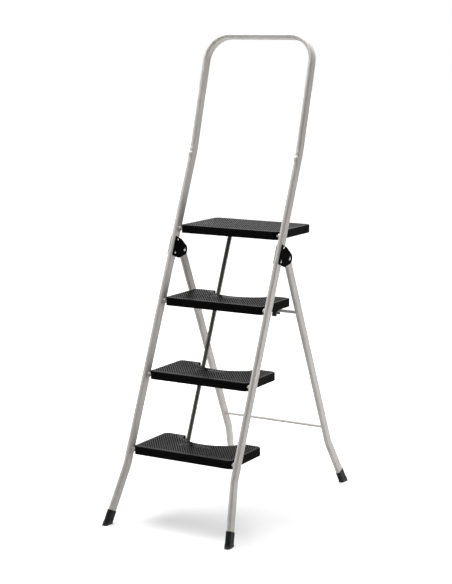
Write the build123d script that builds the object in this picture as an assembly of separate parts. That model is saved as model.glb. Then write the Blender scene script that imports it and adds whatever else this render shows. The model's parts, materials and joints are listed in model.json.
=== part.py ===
from build123d import *
import os
from math import asin, atan, atan2, cos, degrees, radians, sin, tan

# A folding step stool with three treads, a platform and a high hand rail, standing open.
# +X is to the right of the person who climbs it, +Y is away from them and +Z is up. The origin is on
# the floor, in the middle of the footprint. Sizes are in millimetres and angles in degrees.
#
# The front frame is one bent tube. The treads turn on steel axles between its legs, and a link rod
# behind them makes them fold together. The rear frame hangs from two pairs of bracket plates, and
# clips under the upper tread hold its top crossbar while the stool is open.

# Frames
leg_spacing = 382           # between the centrelines of the left and right legs
foot_spread = 792           # along the floor, from the front feet to the rear feet
front_lean = 23.0           # of the front legs and the rod, away from upright
rail_lean = 15.8            # of the hand rail
front_knee_height = 179     # where the front feet start to splay
rear_knee_height = 152      # where the rear feet start to splay
foot_splay = 26             # of each foot, outwards, below its knee
rail_bend_height = 1138     # where the legs turn into the hand rail
rail_height = 1494          # of the hand rail's top bar, on its centreline
knee_radius = 90
rail_bend_radius = 60
rail_corner_radius = 80

# Flat-oval tubes, with their flat sides towards +X and -X
front_tube_depth = 34
front_tube_thickness = 15
rear_tube_depth = 33
rear_tube_play = 0.5        # between a rear leg and each bracket plate
tube_wall = 1.2

# Rear frame's hinge and crossbars
hinge_height = 815
hinge_offset = 53.4         # of the hinge, square to the front legs, behind their centreline
rear_leg_end = 17           # past the hinge, up to the tube's top end
upper_crossbar_drop = 24.3  # below the upper tread's underside
upper_crossbar_diameter = 10
lower_crossbar_height = 209
lower_crossbar_diameter = 9

# Foot caps
cap_length = 46
cap_wall = 1.6
sole_wall = 2.6
sole_height = 9
sole_thickness = 6          # under the end of the tube

# Treads
first_rise = 237            # from the floor to the lowest tread's top
rise = 221                  # from each tread's top to the next
leg_gap = 7.5               # between a tread and each front leg
tread_depth = 194
tread_nose = 10             # from the axle to the front edge
platform_depth = 233
platform_nose = 8
tread_thickness = 26
deck_thickness = 3.5
skirt_wall = 3
rib_thickness = 2.4
rib_rows = 3                # from side to side, under each tread
rib_columns = 4             # from front to back, the outer two above the clips
tread_corner_radius = 16
tread_edge_radius = 2.5
notch_mouth = 196           # at the tread's rear edge
notch_shoulder = 186        # at the ends of the notch's curved front
notch_shoulder_depth = 30
notch_depth = 67
notch_shoulder_radius = 15
notch_mouth_radius = 7
recess_length = 94          # of the smooth lozenge in the middle of each deck
recess_width = 9
recess_depth = 2
recess_x = -7
tread_recess_setback = 95   # from the front edge to the lozenge
platform_recess_setback = 216
axle_diameter = 8
axle_boss_diameter = 17
spacer_diameter = 14

# Link rod and its pins
rod_diameter = 14
rod_wall = 1.2
rod_x = -84
rod_pin_setback = 161.3     # from each axle back to the rod's pin
rod_pin_diameter = 6
rod_end = 13                # past the last pin, at both ends of the rod
rod_gap = 1                 # between the folded rod and the undersides of the treads
rod_lug_thickness = 6
rod_lug_radius = 9
rod_washer_thickness = 1.5
rod_pocket = 24             # clear way for the rod's top end under the platform, on each side of its pin
rod_plug_length = 12

# Bracket plates, rivets and pins
bracket_thickness = 3.5
bracket_front = 10          # ahead of the front leg's centreline, where its flat side starts
bracket_top = 27            # above the hinge, along the front leg
bracket_bottom = 36         # below the hinge, along the front leg
bracket_corner_radius = 4
bracket_lobe_radius = 18
bracket_shoulder_radius = 22
bracket_shoulder_setback = 20   # of the shoulder's centre, behind the leg's centreline
bracket_belly_radius = 17
bracket_belly_height = 18   # of the belly's centre, above the bracket's bottom
bracket_edge_radius = 1.5
rivet_diameter = 6
rivet_head_diameter = 9.5
rivet_head_height = 2.2
upper_rivet_height = 19.5   # above the hinge, along the front leg
lower_rivet_depth = 25      # below the hinge, along the front leg
hinge_pin_diameter = 8
hinge_head_diameter = 12
axle_head_diameter = 11
axle_head_height = 1.6
hinge_plug_length = 34

# Clips that hold the upper crossbar
clip_x = 112
clip_width = 15
clip_plate_length = 34
clip_plate_thickness = 5
clip_jaw = 7                # thickness of the front jaw
clip_rear_jaw = 3.5
clip_front_reach = 25       # of the front jaw past the crossbar's centre, along its way out
clip_rear_reach = 2
clip_lip = 9                # of the flared lip at the end of the rear jaw
clip_lip_swell = 1          # how much thicker the lip is at its edge
clip_crown = 5              # thickness over the crossbar
clip_brow = 5               # how much higher the crown is at the front jaw
clip_screw_diameter = 4
clip_screw_head_diameter = 8
clip_screw_head_height = 2.2
clip_screw_length = 17

# Clearances
running_fit = 0.05          # radial, of a pin in its bore
open_fit = 0.3              # radial, of the rod on the pins that close its linkage
side_play = 0.5             # between a tread and its spacers
clip_play = 0.6             # between the crossbar and the clips

# Places that follow from the sizes above
half_spacing = leg_spacing / 2
tread_width = leg_spacing - front_tube_thickness - 2 * leg_gap
rear_tube_thickness = front_tube_thickness - 2 * rear_tube_play
sole_depth = front_tube_depth + 2 * sole_wall
rear_sole_depth = rear_tube_depth + 2 * sole_wall
hinge_behind = hinge_height * tan(radians(front_lean)) + hinge_offset / cos(radians(front_lean))
rear_lean = degrees(atan((foot_spread - hinge_behind) / hinge_height))
front_reach = sole_depth / 2 / cos(radians(front_lean))
rear_reach = rear_sole_depth / 2 / cos(radians(rear_lean))
front_foot_y = (front_reach - rear_reach - foot_spread) / 2
rear_foot_y = front_foot_y + foot_spread
hinge_y = front_foot_y + hinge_behind
fold_angle = 90 - front_lean                # of the treads, from open to folded
rear_fold_angle = front_lean + rear_lean    # of the rear frame, the other way
rod_pin_drop = tread_thickness / 2 + rod_diameter / 2 + rod_gap

leg_up = Vector(0, sin(radians(front_lean)), cos(radians(front_lean)))
leg_back = Vector(0, cos(radians(front_lean)), -sin(radians(front_lean)))
rear_leg_up = Vector(0, -sin(radians(rear_lean)), cos(radians(rear_lean)))
rear_leg_back = Vector(0, cos(radians(rear_lean)), sin(radians(rear_lean)))
hinge_point = Vector(0, hinge_y, hinge_height)
tread_tops = {
    "lower_tread": first_rise,
    "middle_tread": first_rise + rise,
    "upper_tread": first_rise + 2 * rise,
    "platform": first_rise + 3 * rise,
}
upper_crossbar_height = tread_tops["upper_tread"] - tread_thickness - upper_crossbar_drop
cut_margin = 60             # how far cutting shapes run past what they cut


def front_leg_y(z):
    return front_foot_y + z * tan(radians(front_lean))


def rear_leg_y(z):
    return rear_foot_y - z * tan(radians(rear_lean))


def rail_y(z):
    return front_leg_y(rail_bend_height) + (z - rail_bend_height) * tan(radians(rail_lean))


def foot_x(z, knee_height):
    return half_spacing + foot_splay * max(0, 1 - z / knee_height)


def axle_point(top):
    height = top - tread_thickness / 2
    return Vector(0, front_leg_y(height), height)


def rod_pin_point(top):
    return axle_point(top) + Vector(rod_x, rod_pin_setback, -rod_pin_drop)


# Shapes that several pieces share

def tube_ring(depth, thickness, wall):
    return SlotOverall(depth, thickness) - SlotOverall(depth - 2 * wall, thickness - 2 * wall)


def bent_tube(corners, radii, wide, section):
    """Carry a section along straight runs joined by bends, with its long side starting along wide."""
    runs = FilletPolyline(*corners, radius=radii).order_edges() if radii else [Line(*corners).edge()]
    pieces = []
    for run in runs:
        start = Plane(origin=run @ 0, x_dir=wide, z_dir=run % 0)
        if run.geom_type == GeomType.LINE:
            pieces.append(extrude(start * section, run.length))
        else:
            turn = (run % 0).get_angle(run % 1)
            bend_axis = Axis(run.arc_center, (run % 0).cross(run % 1))
            pieces.append(revolve(start * section, bend_axis, turn))
            wide = wide.rotate(Axis((0, 0, 0), bend_axis.direction), turn)
    tube = pieces[0]
    for piece in pieces[1:]:
        tube += piece
    return tube


def rod_along_x(point, start_x, end_x, diameter):
    start = Plane(origin=(start_x, point.Y, point.Z), z_dir=(1, 0, 0))
    return extrude(start * Circle(diameter / 2), end_x - start_x)


def headed_pin(point, start_x, end_x, diameter, head_diameter, head_height):
    """A pin along X with a shallow domed head at each end, turned as one piece."""
    dome_radius = (head_diameter ** 2 / 4 + head_height ** 2) / (2 * head_height)
    half_turn = asin(head_diameter / 2 / dome_radius) / 2
    crown_x = dome_radius * (1 - cos(half_turn))
    crown_y = dome_radius * sin(half_turn)
    length = end_x - start_x
    shank = diameter / 2
    rim = head_diameter / 2
    left = ThreePointArc((-head_height, 0), (crown_x - head_height, crown_y), (0, rim))
    stem = Polyline((0, rim), (0, shank), (length, shank), (length, rim))
    right = ThreePointArc((length, rim), (length + head_height - crown_x, crown_y), (length + head_height, 0))
    middle = Line((length + head_height, 0), (-head_height, 0))
    profile = make_face([*left.edges(), *stem.edges(), *right.edges(), *middle.edges()])
    return Pos(start_x, point.Y, point.Z) * revolve(profile, Axis.X)


def group(shapes):
    """Identical fasteners: one compound of separate solids."""
    return Compound([solid for shape in shapes for solid in shape.solids()])


def above(height):
    size = 4 * leg_spacing
    return Pos(0, 0, height + size / 2) * Box(size, 4 * foot_spread, size)


# Front frame

bracket_rivet_points = [
    hinge_point - leg_back * hinge_offset + leg_up * upper_rivet_height,
    hinge_point - leg_back * hinge_offset - leg_up * lower_rivet_depth,
]


def front_foot_point(side, z):
    return Vector(side * foot_x(z, front_knee_height), front_leg_y(z), z)


def rear_foot_point(side, z):
    return Vector(side * foot_x(z, rear_knee_height), rear_leg_y(z), z)


def front_frame():
    below = -sole_thickness - cap_wall
    right_half = [
        Vector(half_spacing + foot_splay * (1 - below / front_knee_height), front_leg_y(below), below),
        front_foot_point(1, front_knee_height),
        Vector(half_spacing, front_leg_y(rail_bend_height), rail_bend_height),
        Vector(half_spacing, rail_y(rail_height), rail_height),
    ]
    left_half = [Vector(-point.X, point.Y, point.Z) for point in reversed(right_half)]
    bends = [knee_radius, rail_bend_radius, rail_corner_radius]
    ring = tube_ring(front_tube_depth, front_tube_thickness, tube_wall)
    frame = bent_tube(right_half + left_half, bends + bends[::-1], leg_back, ring)
    frame &= above(sole_thickness)
    reach = half_spacing + cut_margin
    for top in tread_tops.values():
        frame -= rod_along_x(axle_point(top), -reach, reach, axle_diameter)
    for point in bracket_rivet_points:
        frame -= rod_along_x(point, -reach, reach, rivet_diameter)
    return frame


def foot_cap(foot, knee, wide, depth, thickness):
    """A sleeve with a thicker sole, standing flat on the floor round the end of a leg."""
    start = foot - (knee - foot) * (cut_margin / knee.Z)
    up = (knee - foot).normalized()
    floor_run = (foot - start).length

    def sleeve(wall, length):
        plane = Plane(origin=start, x_dir=wide, z_dir=up)
        return extrude(plane * SlotOverall(depth + 2 * wall, thickness + 2 * wall), floor_run + length)

    cap = (sleeve(cap_wall, cap_length) + sleeve(sole_wall, sole_height)) & above(0)
    socket = sleeve(0, cap_length + cut_margin) & above(sole_thickness)
    return cap - socket


def tread_axle(top):
    end = half_spacing + front_tube_thickness / 2
    point = axle_point(top)
    return headed_pin(point, -end, end, axle_diameter, axle_head_diameter, axle_head_height)


def tread_spacers():
    inner = tread_width / 2 + side_play
    outer = half_spacing - front_tube_thickness / 2
    spacers = []
    for top in tread_tops.values():
        for side in (-1, 1):
            first, last = sorted((side * inner, side * outer))
            collar = rod_along_x(axle_point(top), first, last, spacer_diameter)
            spacers.append(collar - rod_along_x(axle_point(top), first, last, axle_diameter))
    return group(spacers)


def bracket_plate(side, outer):
    """A teardrop plate: its straight front lies along the leg and its lobe carries the hinge."""
    on_leg = hinge_point - leg_back * hinge_offset
    plane = Plane(origin=on_leg, x_dir=leg_back, z_dir=(1, 0, 0))
    corner = bracket_corner_radius
    corner_x = corner - bracket_front
    rounds = [
        Pos(corner_x, bracket_top - corner) * Circle(corner),
        Pos(corner_x, corner - bracket_bottom) * Circle(corner),
        Pos(hinge_offset / 2, bracket_belly_height - bracket_bottom) * Circle(bracket_belly_radius),
        Pos(bracket_shoulder_setback, bracket_top - bracket_shoulder_radius) * Circle(bracket_shoulder_radius),
        Pos(hinge_offset, 0) * Circle(bracket_lobe_radius),
    ]
    outline = make_hull([edge for shape in rounds for edge in shape.edges()])
    plate = extrude(plane * outline, bracket_thickness)
    half_leg = front_tube_thickness / 2
    start = half_spacing + half_leg if outer else half_spacing - half_leg - bracket_thickness
    shift = start if side > 0 else -start - bracket_thickness
    plate = Pos(shift, 0, 0) * plate
    show_face = plate.faces().sort_by(Axis.X)[-1 if (side > 0) == outer else 0]
    plate = fillet(show_face.edges(), bracket_edge_radius)
    reach = half_spacing + cut_margin
    for point in bracket_rivet_points:
        plate -= rod_along_x(point, -reach, reach, rivet_diameter)
    return plate - rod_along_x(hinge_point, -reach, reach, hinge_pin_diameter)


def through_both_plates(points, diameter, head_diameter):
    half_stack = front_tube_thickness / 2 + bracket_thickness
    pins = []
    for side in (-1, 1):
        for point in points:
            centre = side * half_spacing
            pins.append(headed_pin(point, centre - half_stack, centre + half_stack,
                                   diameter, head_diameter, rivet_head_height))
    return group(pins)


# Rear frame

def rear_leg(side):
    top = hinge_point + rear_leg_up * rear_leg_end
    below = -sole_thickness - cap_wall
    corners = [
        Vector(side * half_spacing, top.Y, top.Z),
        rear_foot_point(side, rear_knee_height),
        Vector(side * (half_spacing + foot_splay * (1 - below / rear_knee_height)), rear_leg_y(below), below),
    ]
    ring = tube_ring(rear_tube_depth, rear_tube_thickness, tube_wall)
    leg = bent_tube(corners, [knee_radius], rear_leg_back, ring) & above(sole_thickness)
    reach = half_spacing + cut_margin
    return leg - rod_along_x(hinge_point, -reach, reach, hinge_pin_diameter + 2 * running_fit)


def hinge_plug(side):
    """A plastic plug in the top of a rear leg, whose bore turns on the hinge pin."""
    top = hinge_point + rear_leg_up * rear_leg_end
    origin = Vector(side * half_spacing, top.Y, top.Z)
    plane = Plane(origin=origin, x_dir=rear_leg_back, z_dir=-rear_leg_up)
    inside = SlotOverall(rear_tube_depth - 2 * tube_wall, rear_tube_thickness - 2 * tube_wall)
    plug = extrude(plane * inside, hinge_plug_length)
    reach = half_spacing + cut_margin
    return plug - rod_along_x(hinge_point, -reach, reach, hinge_pin_diameter + 2 * running_fit)


def crossbar(height, diameter):
    end = half_spacing - rear_tube_thickness / 2
    return rod_along_x(Vector(0, rear_leg_y(height), height), -end, end, diameter)


# Treads, each made with its axle on the X axis and then moved into place

def notch_outline(rear_edge):
    mouth = notch_mouth / 2
    shoulder = notch_shoulder / 2
    shoulder_y = rear_edge - notch_shoulder_depth
    left = Line((-mouth, rear_edge), (-shoulder, shoulder_y))
    front = ThreePointArc((-shoulder, shoulder_y), (0, rear_edge - notch_depth), (shoulder, shoulder_y))
    right = Line((shoulder, shoulder_y), (mouth, rear_edge))
    outer = Polyline((mouth, rear_edge), (mouth, rear_edge + cut_margin),
                     (-mouth, rear_edge + cut_margin), (-mouth, rear_edge))
    return make_face([*left.edges(), *front.edges(), *right.edges(), *outer.edges()])


def tread_outline(depth, nose, notched):
    outline = Pos(0, depth / 2 - nose) * Rectangle(tread_width, depth)
    outline = fillet(outline.vertices(), tread_corner_radius)
    if not notched:
        return outline
    rear_edge = depth - nose
    shoulder_y = rear_edge - notch_shoulder_depth
    outline -= notch_outline(rear_edge)
    mouths = [v for v in outline.vertices() if abs(abs(v.X) - notch_mouth / 2) < 1 and v.Y > shoulder_y + 1]
    outline = fillet(mouths, notch_mouth_radius)
    shoulders = [v for v in outline.vertices()
                 if abs(abs(v.X) - notch_shoulder / 2) < 1 and abs(v.Y - shoulder_y) < 1]
    return fillet(shoulders, notch_shoulder_radius)


def tread(depth, nose, notched, recess_setback, clip_pads):
    """A moulded tread: a deck with a skirt, ribs, an axle boss and a lug for the rod's pin."""
    half = tread_thickness / 2
    hollow_top = half - deck_thickness
    rear_edge = depth - nose
    outline = tread_outline(depth, nose, notched)
    body = Pos(0, 0, -half) * extrude(outline, tread_thickness)
    body = fillet(body.faces().sort_by(Axis.Z)[-1].edges(), tread_edge_radius)
    inside = offset(outline, -skirt_wall)
    hollow = Pos(0, 0, -half) * extrude(inside, tread_thickness - deck_thickness)
    body -= hollow

    ribs = Part()
    rib_height = hollow_top + half - rib_thickness
    rib_z = hollow_top - rib_height / 2
    for row in range(1, rib_rows + 1):
        y = -nose + depth * row / (rib_rows + 1)
        ribs += Pos(0, y, rib_z) * Box(tread_width, rib_thickness, rib_height)
    for column in range(rib_columns):
        x = clip_x * (2 * column / (rib_columns - 1) - 1)
        ribs += Pos(x, depth / 2 - nose, rib_z) * Box(rib_thickness, depth, rib_height)
    pin_y = rod_pin_setback
    ribs -= Pos(rod_x, pin_y, 0) * Box(rod_pocket, 2 * rod_pocket, 2 * tread_thickness)
    boss = rod_along_x(Vector(0, 0, 0), -tread_width / 2, tread_width / 2, axle_boss_diameter)
    if clip_pads:
        for x in (-clip_x, clip_x):
            pad_y = rear_edge - clip_plate_length / 2
            ribs += Pos(x, pad_y, hollow_top / 2 - half / 2) * Box(
                clip_width, clip_plate_length, hollow_top + half)
    body += (ribs + boss) & hollow

    lug_x = rod_x - rod_diameter / 2 - rod_washer_thickness - rod_lug_thickness / 2
    lug_height = hollow_top + rod_pin_drop
    lug = Pos(lug_x, pin_y, hollow_top - lug_height / 2) * Box(
        rod_lug_thickness, 2 * rod_lug_radius, lug_height)
    pin = Vector(0, pin_y, -rod_pin_drop)
    lug += rod_along_x(pin, lug_x - rod_lug_thickness / 2, lug_x + rod_lug_thickness / 2, 2 * rod_lug_radius)
    body += lug
    body -= rod_along_x(pin, lug_x - rod_lug_thickness, lug_x + rod_lug_thickness, rod_pin_diameter)

    bore = axle_diameter + 2 * running_fit
    body -= rod_along_x(Vector(0, 0, 0), -tread_width, tread_width, bore)
    recess = Pos(recess_x, recess_setback - nose, half - recess_depth) * extrude(
        SlotOverall(recess_length, recess_width), tread_thickness)
    return body - recess


def placed_tread(name):
    top = tread_tops[name]
    if name == "platform":
        body = tread(platform_depth, platform_nose, False, platform_recess_setback, False)
    else:
        body = tread(tread_depth, tread_nose, True, tread_recess_setback, name == "upper_tread")
        if name == "upper_tread":
            for point in clip_screw_points():
                body -= clip_screw_shank(point - axle_point(top))
    return Pos(*axle_point(top)) * body


# Link rod

def link_rod():
    bottom = rod_pin_point(tread_tops["lower_tread"]) - leg_up * rod_end
    top = rod_pin_point(tread_tops["platform"]) + leg_up * rod_end
    plane = Plane(origin=bottom, x_dir=(1, 0, 0), z_dir=leg_up)
    ring = Circle(rod_diameter / 2) - Circle(rod_diameter / 2 - rod_wall)
    rod = extrude(plane * ring, (top - bottom).length)
    for tread_top in tread_tops.values():
        rod -= rod_along_x(rod_pin_point(tread_top), rod_x - rod_diameter, rod_x + rod_diameter,
                           rod_pin_diameter + 2 * open_fit)
    return rod


def rod_plugs():
    """Plastic plugs that close the rod's two ends, drilled for the end pins."""
    plugs = []
    for name, outward in (("lower_tread", -1), ("platform", 1)):
        pin = rod_pin_point(tread_tops[name])
        end = pin + leg_up * (outward * rod_end)
        plane = Plane(origin=end, x_dir=(1, 0, 0), z_dir=leg_up * -outward)
        plug = extrude(plane * Circle(rod_diameter / 2 - rod_wall), rod_plug_length)
        plug -= rod_along_x(pin, rod_x - rod_diameter, rod_x + rod_diameter, rod_pin_diameter + 2 * open_fit)
        plugs.append(plug)
    return group(plugs)


def rod_pin(top):
    point = rod_pin_point(top)
    half_rod = rod_diameter / 2
    start = rod_x - half_rod - rod_washer_thickness - rod_lug_thickness
    end = rod_x + half_rod + rod_gap
    return headed_pin(point, start, end, rod_pin_diameter, rivet_head_diameter, rivet_head_height)


def rod_washer(top):
    point = rod_pin_point(top)
    start = rod_x - rod_diameter / 2 - rod_washer_thickness
    end = start + rod_washer_thickness - side_play
    outer = rod_along_x(point, start, end, 2 * rod_pin_diameter)
    return outer - rod_along_x(point, start, end, rod_pin_diameter)


# Clips

upper_bar = Vector(0, rear_leg_y(upper_crossbar_height), upper_crossbar_height)
upper_axle = axle_point(tread_tops["upper_tread"])
upper_rear_edge = upper_axle.Y + tread_depth - tread_nose
upper_underside = tread_tops["upper_tread"] - tread_thickness


def bar_exit_lean():
    """How far forward of straight down the crossbar leaves the upper tread as folding starts."""
    from_axle = upper_bar - upper_axle
    from_hinge = upper_bar - hinge_point
    ratio = rear_fold_angle / fold_angle
    forward = -from_axle.Z - ratio * from_hinge.Z
    down = from_axle.Y + ratio * from_hinge.Y
    return degrees(atan2(forward, down))


def latch_clip(side):
    """A plate screwed under the tread, with two jaws that open along the crossbar's way out."""
    seat = upper_crossbar_diameter / 2 + clip_play
    plate_start = upper_rear_edge - clip_plate_length
    plate_end = upper_bar.Y + seat
    plate_centre = ((plate_start + plate_end) / 2, upper_underside - clip_plate_thickness / 2)
    outline = Pos(*plate_centre) * Rectangle(plate_end - plate_start, clip_plate_thickness)

    # The jaws are drawn round the crossbar with its way out along local -Y, then turned and moved.
    top = seat + clip_crown
    front = -seat - clip_jaw
    rear = seat + clip_rear_jaw
    lip_y = -clip_rear_reach - clip_lip / 2
    jaws = Polyline(
        (front, top + clip_brow), (rear, top), (rear, -clip_rear_reach), (rear + clip_lip, lip_y),
        (seat + clip_lip, lip_y - clip_lip_swell), (seat, -clip_rear_reach),
        (seat, 0), (-seat, 0), (-seat, -clip_front_reach + clip_jaw / 2),
        (-seat - clip_jaw / 2, -clip_front_reach), (front, -clip_front_reach + clip_jaw),
        close=True)
    jaws = make_face(jaws) - Circle(seat)
    turn = Rot(0, 0, -bar_exit_lean())
    outline += Pos(upper_bar.Y, upper_bar.Z) * turn * jaws
    limit = Pos(upper_bar.Y, upper_underside - cut_margin) * Rectangle(4 * cut_margin, 2 * cut_margin)
    outline &= limit
    sheet = Plane(origin=(side * clip_x, 0, 0), x_dir=(0, 1, 0), z_dir=(1, 0, 0)) * outline
    clip = extrude(sheet, clip_width / 2, both=True)
    for point in clip_screw_points():
        if point.X * side > 0:
            clip -= clip_screw_shank(point)
    return clip


def clip_screw_points():
    """Under the heads of the four screws, on the clips' plates."""
    z = upper_underside - clip_plate_thickness
    rows = (upper_rear_edge - clip_plate_length / 4, upper_rear_edge - clip_plate_length * 3 / 4)
    return [Vector(x, y, z) for x in (-clip_x, clip_x) for y in rows]


def clip_screw_shank(point):
    return extrude(Plane(origin=point) * Circle(clip_screw_diameter / 2), clip_screw_length)


def clip_screws():
    screws = []
    for point in clip_screw_points():
        head = extrude(Plane(origin=point) * Circle(clip_screw_head_diameter / 2), -clip_screw_head_height)
        head = fillet(head.edges().sort_by(Axis.Z)[0], clip_screw_head_height / 2)
        screws.append(head + clip_screw_shank(point))
    return group(screws)


# All the pieces by name

parts = {"front_frame": front_frame()}
for side, side_name in ((-1, "left"), (1, "right")):
    parts[f"front_foot_cap_{side_name}"] = foot_cap(
        front_foot_point(side, 0), front_foot_point(side, front_knee_height),
        leg_back, front_tube_depth, front_tube_thickness)
    parts[f"rear_foot_cap_{side_name}"] = foot_cap(
        rear_foot_point(side, 0), rear_foot_point(side, rear_knee_height),
        rear_leg_back, rear_tube_depth, rear_tube_thickness)
    parts[f"bracket_{side_name}_outer"] = bracket_plate(side, True)
    parts[f"bracket_{side_name}_inner"] = bracket_plate(side, False)
    parts[f"rear_leg_{side_name}"] = rear_leg(side)
    parts[f"hinge_plug_{side_name}"] = hinge_plug(side)
    parts[f"latch_clip_{side_name}"] = latch_clip(side)
parts["upper_crossbar"] = crossbar(upper_crossbar_height, upper_crossbar_diameter)
parts["lower_crossbar"] = crossbar(lower_crossbar_height, lower_crossbar_diameter)
parts["bracket_rivets"] = through_both_plates(bracket_rivet_points, rivet_diameter, rivet_head_diameter)
parts["hinge_pins"] = through_both_plates([hinge_point], hinge_pin_diameter, hinge_head_diameter)
parts["tread_spacers"] = tread_spacers()
parts["link_rod"] = link_rod()
parts["link_rod_plugs"] = rod_plugs()
parts["clip_screws"] = clip_screws()
for name, top in tread_tops.items():
    parts[name] = placed_tread(name)
    parts[f"{name}_axle"] = tread_axle(top)
    parts[f"{name}_rod_pin"] = rod_pin(top)
    parts[f"{name}_rod_washer"] = rod_washer(top)

os.makedirs("parts", exist_ok=True)
for name, shape in parts.items():
    export_step(shape, f"parts/{name}.step")
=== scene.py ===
import json
import math

import bmesh
import bpy
from mathutils import Matrix, Vector


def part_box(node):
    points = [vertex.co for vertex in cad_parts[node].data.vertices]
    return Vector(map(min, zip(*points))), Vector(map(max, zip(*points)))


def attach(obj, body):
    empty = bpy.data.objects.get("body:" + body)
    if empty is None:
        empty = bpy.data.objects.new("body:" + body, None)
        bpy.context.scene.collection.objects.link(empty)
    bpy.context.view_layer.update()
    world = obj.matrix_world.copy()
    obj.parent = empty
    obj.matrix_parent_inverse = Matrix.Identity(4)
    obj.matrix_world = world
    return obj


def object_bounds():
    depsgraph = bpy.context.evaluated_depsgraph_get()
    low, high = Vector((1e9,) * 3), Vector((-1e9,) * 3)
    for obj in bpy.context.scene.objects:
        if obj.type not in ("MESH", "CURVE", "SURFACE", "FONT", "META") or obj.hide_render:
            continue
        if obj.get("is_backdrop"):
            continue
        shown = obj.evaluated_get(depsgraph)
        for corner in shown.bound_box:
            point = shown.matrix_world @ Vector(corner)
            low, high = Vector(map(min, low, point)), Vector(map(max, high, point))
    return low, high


# Finishes, small details, light and camera for the folding step stool.
# Lengths are in metres. X runs to the climber's right, Y away from them and Z up from the floor.

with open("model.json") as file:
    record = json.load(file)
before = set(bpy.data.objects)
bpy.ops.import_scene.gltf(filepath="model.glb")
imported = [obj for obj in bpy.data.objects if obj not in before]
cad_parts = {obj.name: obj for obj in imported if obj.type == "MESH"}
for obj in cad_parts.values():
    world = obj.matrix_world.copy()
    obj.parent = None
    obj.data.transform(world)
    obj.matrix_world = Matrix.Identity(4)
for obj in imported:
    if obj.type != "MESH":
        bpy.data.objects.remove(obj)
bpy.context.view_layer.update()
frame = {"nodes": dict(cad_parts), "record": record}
print("frame loaded:", len(frame["nodes"]), "nodes")

treadNames = ["lower_tread", "middle_tread", "upper_tread"]


# Materials: each dictionary holds what can be changed, and its scales are in repeats per metre

class Wire:
    # a socket that can be used in sums
    def __init__(self, sheet, socket):
        self.sheet = sheet
        self.socket = socket

    def __add__(self, other):
        return self.sheet.maths("ADD", self, other)

    def __radd__(self, other):
        return self.sheet.maths("ADD", other, self)

    def __sub__(self, other):
        return self.sheet.maths("SUBTRACT", self, other)

    def __rsub__(self, other):
        return self.sheet.maths("SUBTRACT", other, self)

    def __mul__(self, other):
        return self.sheet.maths("MULTIPLY", self, other)

    def __rmul__(self, other):
        return self.sheet.maths("MULTIPLY", other, self)


class Sheet:
    # an emptied node tree, with one method that makes any node
    def __init__(self, tree):
        self.tree = tree
        self.tree.nodes.clear()

    def node(self, kind, settings, inputs, output=0):
        made = self.tree.nodes.new(kind)
        for key, value in settings.items():
            setattr(made, key, value)
        for key, value in inputs.items():
            if isinstance(value, Wire):
                self.tree.links.new(value.socket, made.inputs[key])
            else:
                made.inputs[key].default_value = value
        return None if output is None else Wire(self, made.outputs[output])

    def maths(self, operation, first, second):
        return self.node("ShaderNodeMath", {"operation": operation}, {0: first, 1: second})

    def seenDirectly(self):
        return self.node("ShaderNodeLightPath", {}, {}, "Is Camera Ray")

    def between(self, wire, low, high, start=0.0, end=1.0, curve="LINEAR"):
        # from start to end as the wire goes from low to high, and no further
        settings = {"clamp": True, "interpolation_type": curve}
        values = {"Value": wire, "From Min": low, "From Max": high, "To Min": start, "To Max": end}
        return self.node("ShaderNodeMapRange", settings, values)


class Finish(Sheet):
    # one material and the nodes in it
    def __init__(self, name):
        self.material = bpy.data.materials.new(name)
        self.material.use_nodes = True
        super().__init__(self.material.node_tree)
        self.place = self.node("ShaderNodeTexCoord", {}, {}, "Object")

    def stretched(self, scale):
        return self.node("ShaderNodeMapping", {}, {"Vector": self.place, "Scale": scale})

    def noise(self, scale, detail=3, roughness=0.5, place=None):
        values = {"Vector": place or self.place, "Scale": scale, "Detail": detail, "Roughness": roughness}
        return self.node("ShaderNodeTexNoise", {}, values, "Fac")

    def cells(self, scale):
        values = {"Vector": self.place, "Scale": scale}
        return self.node("ShaderNodeTexVoronoi", {"feature": "F1"}, values, "Distance")

    def height(self):
        return self.node("ShaderNodeSeparateXYZ", {}, {"Vector": self.place}, "Z")

    def upward(self):
        # one on faces that look up, nothing on the rest
        facing = self.node("ShaderNodeTexCoord", {}, {}, "Normal")
        return self.between(self.node("ShaderNodeSeparateXYZ", {}, {"Vector": facing}, "Z"), 0.5, 0.9)

    def blend(self, amount, first, second):
        settings = {"data_type": "RGBA", "blend_type": "MIX"}
        return self.node("ShaderNodeMix", settings, {"Factor": amount, 6: first, 7: second}, 2)

    def output(self, shader):
        self.node("ShaderNodeOutputMaterial", {}, {"Surface": shader}, None)
        return self.material

    def done(self, colour, roughness, relief, reliefDepth, constants):
        heights = {"Height": relief, "Distance": reliefDepth, "Strength": 1.0}
        bump = self.node("ShaderNodeBump", {}, heights, "Normal")
        values = {"Base Color": colour, "Roughness": roughness, "Normal": bump}
        values.update(constants)
        return self.output(self.node("ShaderNodeBsdfPrincipled", {}, values, "BSDF"))


framePaint = {
    "colour": (0.64, 0.615, 0.580, 1),
    "shade": (0.57, 0.547, 0.515, 1),
    "scuff": (0.30, 0.29, 0.275, 1),
    "grime": (0.33, 0.31, 0.28, 1),
    "roughness": (0.34, 0.48),
    "cloudScale": 6,
    "speckScale": 260,
    "rubScale": 24,
    "grimeScale": 40,
    "grimeHeights": (0.05, 0.30),
    "grimeShare": 0.35,
    "peelScale": 900,
    "fineScale": 3000,
    "peelDepth": 0.00005,
}


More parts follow.
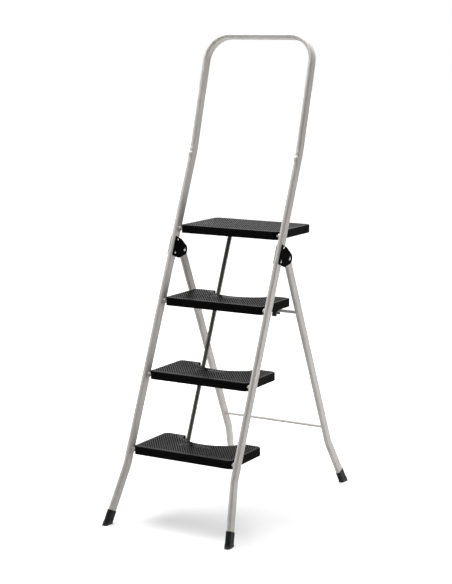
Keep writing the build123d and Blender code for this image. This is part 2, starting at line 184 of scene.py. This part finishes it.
def makeFramePaint():
    paint = framePaint
    finish = Finish("framePaint")
    cloud = finish.noise(paint["cloudScale"], 4)
    peel = finish.noise(paint["peelScale"], 2)
    specks = finish.between(finish.noise(paint["speckScale"], 2), 0.70, 0.76)
    alongLegs = finish.stretched((1, 1, 0.18))
    rubs = finish.between(finish.noise(paint["rubScale"], 6, 0.7, alongLegs), 0.64, 0.74)
    foot = finish.between(finish.height(), *paint["grimeHeights"], paint["grimeShare"], 0.0)
    grime = foot * finish.between(finish.noise(paint["grimeScale"], 5), 0.35, 0.7)
    colour = finish.blend(finish.between(cloud, 0.3, 0.7), paint["colour"], paint["shade"])
    colour = finish.blend(grime, colour, paint["grime"])
    colour = finish.blend(rubs * 0.35 + specks * 0.25, colour, paint["scuff"])
    roughness = finish.between(cloud + rubs * 0.4, 0.3, 0.9, *paint["roughness"])
    relief = peel * 0.5 + finish.noise(paint["fineScale"], 1) * 0.2 - specks * 0.6 - rubs * 0.2
    constants = {"Metallic": 0.0, "Coat Weight": 0.15, "Coat Roughness": 0.25, "IOR": 1.5}
    return finish.done(colour, roughness, relief, paint["peelDepth"], constants)


rodSteel = {
    "colour": (0.20, 0.195, 0.188, 1),
    "streak": (0.13, 0.127, 0.122, 1),
    "worn": (0.32, 0.31, 0.30, 1),
    "roughness": (0.32, 0.50),
    "streakScale": 900,
    "cloudScale": 12,
    "wornScale": 60,
    "drawDepth": 0.00006,
}


def makeRodSteel():
    steel = rodSteel
    finish = Finish("rodSteel")
    drawn = finish.noise(steel["streakScale"], 3, 0.6, finish.stretched((1, 0.03, 0.03)))
    cloud = finish.noise(steel["cloudScale"], 4)
    worn = finish.between(finish.noise(steel["wornScale"], 6, 0.7), 0.62, 0.72)
    colour = finish.blend(finish.between(drawn, 0.35, 0.65), steel["colour"], steel["streak"])
    colour = finish.blend(worn * 0.5, colour, steel["worn"])
    roughness = finish.between(cloud + drawn * 0.4, 0.4, 1.0, *steel["roughness"])
    constants = {"Metallic": 0.55, "IOR": 1.6}
    return finish.done(colour, roughness, drawn + worn * 0.3, steel["drawDepth"], constants)


treadPlastic = {
    "colour": (0.0018, 0.0018, 0.0019, 1),
    # pale tone for faces that look up: partly real dust, partly a painted sheen that lightens the tread tops
    "dust": (0.080, 0.0785, 0.076, 1),
    "scuff": (0.007, 0.007, 0.007, 1),
    "roughness": (0.34, 0.52),
    "sideRoughness": 0.35,
    "specular": 0.06,
    "cloudScale": 9,
    "scuffScale": 30,
    "dustScale": 18,
    "grainScale": 1500,
    "pitScale": 700,
    "grainDepth": 0.00010,
}


def makeTreadPlastic():
    plastic = treadPlastic
    finish = Finish("treadPlastic")
    cloud = finish.noise(plastic["cloudScale"], 4)
    grain = finish.noise(plastic["grainScale"], 2)
    pits = finish.cells(plastic["pitScale"])
    acrossTread = finish.stretched((1, 0.35, 1))
    scuffs = finish.between(finish.noise(plastic["scuffScale"], 7, 0.75, acrossTread), 0.62, 0.72)
    upward = finish.upward()
    # faces that look up are paled: partly real dust, partly a painted sheen where the tread tops catch the
    # bright wall
    dust = finish.between(finish.noise(plastic["dustScale"], 5), 0.45, 0.75) * upward
    colour = finish.blend(dust * 0.30, plastic["colour"], plastic["dust"])
    colour = finish.blend(scuffs * 0.5, colour, plastic["scuff"])
    roughness = finish.between(cloud + scuffs * 0.3 + dust * 0.2, 0.3, 1.1, *plastic["roughness"])
    roughness = roughness + (1 - upward) * plastic["sideRoughness"]
    relief = grain * 0.6 + pits * 0.4 - scuffs * 0.2
    constants = {"Metallic": 0.0, "Specular IOR Level": plastic["specular"]}
    return finish.done(colour, roughness, relief, plastic["grainDepth"], constants)


bracketPlastic = {
    "colour": (0.001, 0.001, 0.001, 1),
    "haze": (0.003, 0.003, 0.003, 1),
    "roughness": (0.10, 0.24),
    "specular": 0.02,
    "waveScale": 60,
    "scratchScale": 220,
    "hazeScale": 35,
    "fineScale": 1400,
    "waveDepth": 0.00010,
}


def makeBracketPlastic():
    plastic = bracketPlastic
    finish = Finish("bracketPlastic")
    wave = finish.noise(plastic["waveScale"], 2)
    alongLegs = finish.stretched((1, 1, 0.2))
    scratches = finish.between(finish.noise(plastic["scratchScale"], 6, 0.7, alongLegs), 0.63, 0.70)
    haze = finish.between(finish.noise(plastic["hazeScale"], 5), 0.5, 0.8) * 0.5
    colour = finish.blend(haze, plastic["colour"], plastic["haze"])
    roughness = finish.between(wave + scratches * 0.5, 0.3, 1.1, *plastic["roughness"])
    relief = wave + finish.noise(plastic["fineScale"], 2) * 0.08 - scratches * 0.05
    constants = {"Metallic": 0.0, "Specular IOR Level": plastic["specular"]}
    return finish.done(colour, roughness, relief, plastic["waveDepth"], constants)


footRubber = {
    "colour": (0.010, 0.010, 0.0105, 1),
    "bloom": (0.030, 0.030, 0.031, 1),
    "dust": (0.13, 0.125, 0.115, 1),
    "roughness": (0.50, 0.75),
    "specular": 0.2,
    "cloudScale": 45,
    "dustScale": 120,
    "dustHeight": 0.014,
    "dustShare": 0.75,
    "grainScale": 1200,
    "cellScale": 420,
    "grainDepth": 0.00015,
}


def makeFootRubber():
    rubber = footRubber
    finish = Finish("footRubber")
    cloud = finish.noise(rubber["cloudScale"], 5)
    grain = finish.noise(rubber["grainScale"], 3)
    sole = finish.between(finish.height(), 0.0, rubber["dustHeight"], rubber["dustShare"], 0.0)
    sole = sole * finish.between(finish.noise(rubber["dustScale"], 5), 0.35, 0.65)
    colour = finish.blend(finish.between(cloud, 0.4, 0.8) * 0.6, rubber["colour"], rubber["bloom"])
    colour = finish.blend(sole, colour, rubber["dust"])
    roughness = finish.between(cloud + sole * 0.3, 0.3, 1.0, *rubber["roughness"])
    relief = grain * 0.7 + finish.cells(rubber["cellScale"]) * 0.5
    constants = {"Metallic": 0.0, "Specular IOR Level": rubber["specular"]}
    return finish.done(colour, roughness, relief, rubber["grainDepth"], constants)


clipPlastic = {
    "colour": (0.014, 0.014, 0.015, 1),
    "rubbed": (0.05, 0.05, 0.05, 1),
    "roughness": (0.36, 0.56),
    "grainScale": 1300,
    "grainDepth": 0.00010,
}


def makeClipPlastic(name, cloudScale):
    plastic = clipPlastic
    finish = Finish(name)
    cloud = finish.noise(cloudScale, 5)
    rubbed = finish.between(finish.noise(cloudScale * 3, 6, 0.7), 0.6, 0.72)
    grain = finish.noise(plastic["grainScale"], 2)
    colour = finish.blend(rubbed * 0.5 + cloud * 0.15, plastic["colour"], plastic["rubbed"])
    roughness = finish.between(cloud + rubbed * 0.3, 0.3, 1.0, *plastic["roughness"])
    constants = {"Metallic": 0.0, "IOR": 1.5}
    return finish.done(colour, roughness, grain + cloud * 0.3, plastic["grainDepth"], constants)


spacerNylon = {
    "colour": (0.62, 0.61, 0.57, 1),
    "yellowed": (0.50, 0.46, 0.37, 1),
    "grease": (0.16, 0.15, 0.13, 1),
    "roughness": (0.30, 0.50),
    "cloudScale": 55,
    "greaseScale": 150,
    "grainScale": 900,
    "grainDepth": 0.00008,
}


def makeSpacerNylon():
    nylon = spacerNylon
    finish = Finish("spacerNylon")
    cloud = finish.noise(nylon["cloudScale"], 4)
    grease = finish.between(finish.noise(nylon["greaseScale"], 6, 0.7), 0.60, 0.72)
    colour = finish.blend(finish.between(cloud, 0.35, 0.75), nylon["colour"], nylon["yellowed"])
    colour = finish.blend(grease * 0.5, colour, nylon["grease"])
    roughness = finish.between(cloud - grease * 0.3, 0.2, 0.8, *nylon["roughness"])
    relief = finish.noise(nylon["grainScale"], 3) + grease * 0.3
    return finish.done(colour, roughness, relief, nylon["grainDepth"], {"Metallic": 0.0, "IOR": 1.53})


rivetSteel = {
    "colour": (0.62, 0.61, 0.60, 1),
    "dull": (0.36, 0.355, 0.345, 1),
    "roughness": (0.18, 0.42),
    "cloudScale": 160,
    "scratchScale": 700,
    "dentScale": 420,
    "dentDepth": 0.00012,
}


def makeRivetSteel():
    steel = rivetSteel
    finish = Finish("rivetSteel")
    cloud = finish.noise(steel["cloudScale"], 4)
    lengthways = finish.stretched((1, 1, 0.3))
    scratches = finish.between(finish.noise(steel["scratchScale"], 6, 0.75, lengthways), 0.55, 0.68)
    wear = finish.between(cloud + scratches * 0.3, 0.35, 0.9)
    colour = finish.blend(wear, steel["colour"], steel["dull"])
    roughness = finish.between(cloud + scratches * 0.4, 0.3, 1.1, *steel["roughness"])
    relief = finish.noise(steel["dentScale"], 3) + scratches * 0.4
    return finish.done(colour, roughness, relief, steel["dentDepth"], {"Metallic": 1.0})


materials = {
    "frame_paint": makeFramePaint(),
    "rod_steel": makeRodSteel(),
    "tread_plastic": makeTreadPlastic(),
    "bracket_plastic": makeBracketPlastic(),
    "foot_rubber": makeFootRubber(),
    "clip_plastic": makeClipPlastic("clipPlastic", 70),
    "plug_plastic": makeClipPlastic("plugPlastic", 110),
    "spacer_nylon": makeSpacerNylon(),
    "rivet_steel": makeRivetSteel(),
}
slotOf = {part["node"]: part["material_slot"] for part in frame["record"]["subparts"]}
for name, thing in frame["nodes"].items():
    thing.data.materials.clear()
    thing.data.materials.append(materials[slotOf[name]])
print("materials:", len(materials))


# Pieces

def finishPiece(name, shape, body, slotName):
    mesh = bpy.data.meshes.new(name)
    shape.to_mesh(mesh)
    shape.free()
    mesh.materials.append(materials[slotName])
    piece = bpy.data.objects.new(name, mesh)
    bpy.context.scene.collection.objects.link(piece)
    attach(piece, body)
    return piece


treadStuds = {
    "pitchAcross": 0.0086,
    "pitchBack": 0.0060,
    "length": 0.0058,
    "width": 0.0036,
    "height": 0.0012,
    "sunk": 0.0003,
    "topShare": 0.5,
    "frontBand": 0.014,
    "sideBand": 0.009,
    "rearBand": 0.009,
    "notchBand": 0.010,
    "notchHalfWidth": 0.098,
    "notchShoulderDepth": 0.030,
    "notchCentreBehind": 0.0684,
    "notchRadius": 0.1354,
    "lozengeX": -0.007,
    "lozengeHalfLength": 0.047,
    "lozengeHalfWidth": 0.0045,
    "lozengeBand": 0.007,
    "treadLozengeBack": 0.095,
    "platformLozengeBack": 0.216,
}


def onDeck(x, y, low, high, notched):
    # whether a stud stands here: off the edges, the smooth lozenge and the scoop
    studs = treadStuds
    if y < low.y + studs["frontBand"] or y > high.y - studs["rearBand"]:
        return False
    if abs(x) > high.x - studs["sideBand"]:
        return False
    back = studs["treadLozengeBack"] if notched else studs["platformLozengeBack"]
    acrossGap = abs(x - studs["lozengeX"]) - studs["lozengeHalfLength"]
    backGap = abs(y - low.y - back) - studs["lozengeHalfWidth"]
    if acrossGap < studs["lozengeBand"] and backGap < studs["lozengeBand"]:
        return False
    if not notched:
        return True
    fromNotchCentre = math.hypot(x, y - high.y - studs["notchCentreBehind"])
    if fromNotchCentre < studs["notchRadius"] + studs["notchBand"]:
        return False
    inMouth = y > high.y - studs["notchShoulderDepth"] - studs["notchBand"]
    return not (inMouth and abs(x) < studs["notchHalfWidth"] + studs["notchBand"])


def makeStudRow(y, row, low, high, notched, tall):
    studs = treadStuds
    line = bmesh.new()
    columns = int((high.x - low.x) / studs["pitchAcross"])
    size = Matrix.Diagonal((studs["length"] / 2, studs["width"] / 2, 1, 1))
    for column in range(columns + 1):
        x = (column - columns / 2 + 0.5 * (row % 2)) * studs["pitchAcross"]
        if not onDeck(x, y, low, high, notched):
            continue
        place = Matrix.Translation((x, y, high.z + (tall - studs["sunk"]) / 2))
        bmesh.ops.create_cone(line, cap_ends=True, segments=8, radius1=1, radius2=studs["topShare"],
                              depth=tall + studs["sunk"], matrix=place @ size)
    return line


def makeStuds(treadName, notched, heightShare):
    # each row is made by itself and then added, which is much faster than one long row of additions
    low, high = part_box(treadName)
    tall = treadStuds["height"] * heightShare
    rows = int((high.y - low.y) / treadStuds["pitchBack"])
    middle = (low.y + high.y) / 2
    shape = bmesh.new()
    for row in range(rows + 1):
        y = middle + (row - rows / 2) * treadStuds["pitchBack"]
        line = makeStudRow(y, row, low, high, notched, tall)
        lineMesh = bpy.data.meshes.new("studLine")
        line.to_mesh(lineMesh)
        line.free()
        shape.from_mesh(lineMesh)
        bpy.data.meshes.remove(lineMesh)
    return finishPiece(treadName + "_studs", shape, treadName, "tread_plastic")


for name in treadNames:
    makeStuds(name, True, 1.0)
makeStuds("platform", False, 0.7)
print("deck studs made")


deckPad = {
    "halfWidth": 0.0055,
    "proud": 0.0009,
    "sunk": 0.0021,
    "chamfer": 0.0004,
    "arcSteps": 12,
}


def slotRing(shape, middle, straight, radius, z):
    # a level ring with two straight sides and two round ends
    ring = []
    for end in (1, -1):
        for step in range(deckPad["arcSteps"] + 1):
            angle = math.pi * (step / deckPad["arcSteps"] - 0.5)
            across = Vector((end * (straight + radius * math.cos(angle)), end * radius * math.sin(angle), z))
            ring.append(shape.verts.new(middle + across))
    return ring


def makeDeckPad(treadName, back):
    # a smooth island that fills the recess in the middle of a deck
    pad = deckPad
    low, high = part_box(treadName)
    straight = treadStuds["lozengeHalfLength"] - pad["halfWidth"]
    middle = Vector((treadStuds["lozengeX"], low.y + back, high.z))
    shape = bmesh.new()
    rings = [
        slotRing(shape, middle, straight, pad["halfWidth"], -pad["sunk"]),
        slotRing(shape, middle, straight, pad["halfWidth"], pad["proud"] - pad["chamfer"]),
        slotRing(shape, middle, straight, pad["halfWidth"] - pad["chamfer"], pad["proud"]),
    ]
    for first, second in zip(rings, rings[1:]):
        for n, start in enumerate(first):
            after = (n + 1) % len(first)
            shape.faces.new((start, first[after], second[after], second[n]))
    shape.faces.new(rings[0])
    shape.faces.new(rings[-1])
    bmesh.ops.recalc_face_normals(shape, faces=shape.faces)
    return finishPiece(treadName + "_pad", shape, treadName, "bracket_plastic")


for name in treadNames:
    makeDeckPad(name, treadStuds["treadLozengeBack"])
makeDeckPad("platform", treadStuds["platformLozengeBack"])
print("deck pads made")


weldBeads = {
    "bead": 0.0022,
    "steps": 28,
}


def makeWeldBead(name, centre, barRadius):
    # a ring of weld where a crossbar meets a rear leg
    shape = bmesh.new()
    upright = Matrix.Translation((0, 0, barRadius)) @ Matrix.Rotation(math.radians(90), 4, "X")
    bmesh.ops.create_circle(shape, cap_ends=False, segments=8, radius=weldBeads["bead"], matrix=upright)
    bmesh.ops.spin(shape, geom=shape.verts[:] + shape.edges[:], cent=(0, 0, 0), axis=(1, 0, 0),
                   angle=math.tau, steps=weldBeads["steps"], use_merge=True)
    bmesh.ops.recalc_face_normals(shape, faces=shape.faces)
    bmesh.ops.translate(shape, verts=shape.verts, vec=centre)
    for face in shape.faces:
        face.smooth = True
    return finishPiece(name, shape, "rear_frame", "frame_paint")


for barName in ("upper_crossbar", "lower_crossbar"):
    low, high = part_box(barName)
    middle = (low + high) / 2
    for side, sideName in ((-1, "left"), (1, "right")):
        centre = Vector((side * high.x, middle.y, middle.z))
        makeWeldBead(f"{barName}_weld_{sideName}", centre, (high.z - low.z) / 2)
print("welds made")


bendCrease = {
    "legHalfSpacing": 0.191,
    "footY": -0.3959,
    "legLean": 23.0,
    "railLean": 15.8,
    "bendHeight": 1.138,
    "bendRadius": 0.060,
    "roundRadius": 0.0075,
    "roundForward": 0.0095,
    "wrap": 86.0,
    "proud": 0.0034,
    "upperShare": 0.4,
    "crest": 0.0080,
    "reach": 0.024,
    "below": 0.016,
    "sunk": 0.0005,
    "backing": 0.0007,
    "rows": 37,
    "columns": 17,
}


def creaseHeight(along):
    # two swells with a sharp valley between them, the lower one taller
    crease = bendCrease
    away = abs(along)
    tall = crease["proud"] * (crease["upperShare"] if along > 0 else 1)
    if away < crease["crest"]:
        share = away / crease["crest"]
        return tall * share * (2 - share)
    share = (away - crease["crest"]) / (crease["reach"] - crease["crest"])
    return tall * (1 + math.cos(math.pi * share)) / 2


def bendPlace(side, along):
    # a point on the tube's centreline at a distance from the middle of the bend, and the way forward there
    bend = bendCrease
    halfTurn = math.radians(bend["legLean"] - bend["railLean"]) / 2
    middleLean = math.radians(bend["legLean"] + bend["railLean"]) / 2
    turn = max(-halfTurn, min(halfTurn, along / bend["bendRadius"]))
    lean = middleLean - turn
    forward = Vector((0, -math.cos(lean), math.sin(lean)))
    upwards = Vector((0, math.sin(lean), math.cos(lean)))
    y = bend["footY"] + bend["bendHeight"] * math.tan(math.radians(bend["legLean"]))
    corner = Vector((side * bend["legHalfSpacing"], y, bend["bendHeight"]))
    middleForward = Vector((0, -math.cos(middleLean), math.sin(middleLean)))
    hub = corner + middleForward * (bend["bendRadius"] / math.cos(halfTurn))
    straight = along - turn * bend["bendRadius"]
    return hub - forward * bend["bendRadius"] + upwards * straight, forward


def creaseRow(shape, side, along, outer):
    # one line of points round the tube's front, on the crease or just under the tube's skin
    crease = bendCrease
    centre, forward = bendPlace(side, along - crease["below"])
    line = []
    for column in range(crease["columns"]):
        share = 2 * column / (crease["columns"] - 1) - 1
        angle = math.radians(crease["wrap"]) * share
        swell = creaseHeight(along) * math.cos(math.pi * share / 2) - crease["sunk"] * abs(share) ** 3
        radius = crease["roundRadius"] + (swell if outer else -crease["backing"])
        outwards = forward * math.cos(angle) + Vector((1, 0, 0)) * math.sin(angle)
        line.append(shape.verts.new(centre + forward * crease["roundForward"] + outwards * radius))
    return line


def closeSkins(shape, outerSkin, innerSkin):
    # faces over both skins, and a rim between their edges
    rows = len(outerSkin)
    columns = len(outerSkin[0])
    for row in range(rows - 1):
        for column in range(columns - 1):
            for skin in (outerSkin, innerSkin):
                shape.faces.new((skin[row][column], skin[row][column + 1],
                                 skin[row + 1][column + 1], skin[row + 1][column]))
    rim = [(0, n) for n in range(columns)]
    rim += [(n, columns - 1) for n in range(1, rows)]
    rim += [(rows - 1, n) for n in range(columns - 2, -1, -1)]
    rim += [(n, 0) for n in range(rows - 2, 0, -1)]
    for (row, column), (nextRow, nextColumn) in zip(rim, rim[1:] + rim[:1]):
        shape.faces.new((outerSkin[row][column], outerSkin[nextRow][nextColumn],
                         innerSkin[nextRow][nextColumn], innerSkin[row][column]))


def makeBendCrease(side, sideName):
    # the tube's front is pinched where each leg was bent into the rail
    crease = bendCrease
    shape = bmesh.new()
    places = [crease["reach"] * (2 * row / (crease["rows"] - 1) - 1) for row in range(crease["rows"])]
    outerSkin = [creaseRow(shape, side, along, True) for along in places]
    innerSkin = [creaseRow(shape, side, along, False) for along in places]
    closeSkins(shape, outerSkin, innerSkin)
    bmesh.ops.recalc_face_normals(shape, faces=shape.faces)
    for face in shape.faces:
        face.smooth = True
    return finishPiece("rail_bend_crease_" + sideName, shape, "front_frame", "frame_paint")


for side, sideName in ((-1, "left"), (1, "right")):
    makeBendCrease(side, sideName)
print("bend creases made")


# Floor, light and camera

studio = {
    "floorSize": 60,
    "floorTone": (0.62, 0.62, 0.62, 1),
    "floorRoughness": 0.9,
    "floorSpecular": 0.1,
    "floorGlow": (0.42, 1.0),
    "floorReach": (0.4, 2.0),
    "wallDirection": (-0.49, 0.87, 0.05),
    "wallGlow": 1.35,
    "roomGlow": 0.16,
    "wallEdge": (0.45, 0.92),
}
softboxes = {
    "keySoftbox": {"place": (-0.5, 0.5, 3.3), "target": (0, 0, 0.6), "size": (2.2, 2.2), "power": 165},
    "fillSoftbox": {"place": (-3.0, -2.4, 1.9), "target": (0, 0, 0.7), "size": (1.6, 2.4), "power": 38},
    "lowSoftbox": {"place": (1.9, 1.5, 0.35), "target": (0, 0.2, 0.2), "size": (1.0, 0.6), "power": 16},
}
white = (1, 1, 1, 1)


def makeFloor():
    # the floor's own glow grows away from the stool, and only its shaded middle shows
    shape = bmesh.new()
    bmesh.ops.create_grid(shape, x_segments=1, y_segments=1, size=studio["floorSize"] / 2)
    mesh = bpy.data.meshes.new("floor")
    shape.to_mesh(mesh)
    shape.free()
    floor = bpy.data.objects.new("floor", mesh)
    bpy.context.scene.collection.objects.link(floor)
    finish = Finish("floorWhite")
    away = finish.node("ShaderNodeVectorMath", {"operation": "LENGTH"}, {0: finish.place}, "Value")
    glow = finish.seenDirectly() * finish.between(away, *studio["floorReach"], *studio["floorGlow"])
    values = {
        "Base Color": studio["floorTone"],
        "Roughness": studio["floorRoughness"],
        "Specular IOR Level": studio["floorSpecular"],
        "Emission Color": white,
        "Emission Strength": glow,
    }
    mesh.materials.append(finish.output(finish.node("ShaderNodeBsdfPrincipled", {}, values, "BSDF")))
    floor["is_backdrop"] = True


def makeSky():
    # white where it is seen directly; elsewhere a dim room with one bright wall behind the stool
    world = bpy.data.worlds.new("studioSky")
    world.use_nodes = True
    sheet = Sheet(world.node_tree)
    direction = sheet.node("ShaderNodeTexCoord", {}, {}, "Generated")
    towardsWall = sheet.node("ShaderNodeVectorMath", {"operation": "DOT_PRODUCT"},
                             {0: direction, 1: studio["wallDirection"]}, "Value")
    glows = (studio["roomGlow"], studio["wallGlow"])
    glow = sheet.between(towardsWall, *studio["wallEdge"], *glows, "SMOOTHSTEP")
    lighting = sheet.node("ShaderNodeBackground", {}, {"Color": white, "Strength": glow})
    seen = sheet.node("ShaderNodeBackground", {}, {"Color": white, "Strength": 1.0})
    mix = sheet.node("ShaderNodeMixShader", {}, {0: sheet.seenDirectly(), 1: lighting, 2: seen})
    sheet.node("ShaderNodeOutputWorld", {}, {"Surface": mix}, None)
    bpy.context.scene.world = world


def makeSoftbox(name, place, target, size, power):
    lamp = bpy.data.lights.new(name, "AREA")
    lamp.shape = "RECTANGLE"
    lamp.size, lamp.size_y = size
    lamp.energy = power
    holder = bpy.data.objects.new(name, lamp)
    bpy.context.scene.collection.objects.link(holder)
    aim = (Vector(target) - Vector(place)).to_track_quat("-Z", "Y")
    holder.matrix_world = Matrix.LocRotScale(Vector(place), aim, None)


makeFloor()
makeSky()
for name, softbox in softboxes.items():
    makeSoftbox(name, **softbox)
bpy.context.scene.view_settings.view_transform = "Standard"

viewpoint = {
    "place": (2.3655, -4.2126, 1.5198),
    "azimuth": 29.5355,
    "downwards": 9.7164,
    "roll": 0.2241,
    "lens": 94.956,
}


def makeCamera():
    turn = math.radians(viewpoint["azimuth"])
    dip = math.radians(viewpoint["downwards"])
    roll = math.radians(viewpoint["roll"])
    ahead = Vector((-math.sin(turn), math.cos(turn), 0))
    right = Vector((math.cos(turn), math.sin(turn), 0))
    look = ahead * math.cos(dip) - Vector((0, 0, 1)) * math.sin(dip)
    upright = ahead * math.sin(dip) + Vector((0, 0, 1)) * math.cos(dip)
    side = right * math.cos(roll) + upright * math.sin(roll)
    top = upright * math.cos(roll) - right * math.sin(roll)
    data = bpy.data.cameras.new("camera")
    data.sensor_width = 36
    data.lens = viewpoint["lens"]
    camera = bpy.data.objects.new("camera", data)
    bpy.context.scene.collection.objects.link(camera)
    turned = Matrix((side, top, -look)).transposed().to_4x4()
    camera.matrix_world = Matrix.Translation(viewpoint["place"]) @ turned
    bpy.context.scene.camera = camera


makeCamera()
print("studio ready")

low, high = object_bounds()
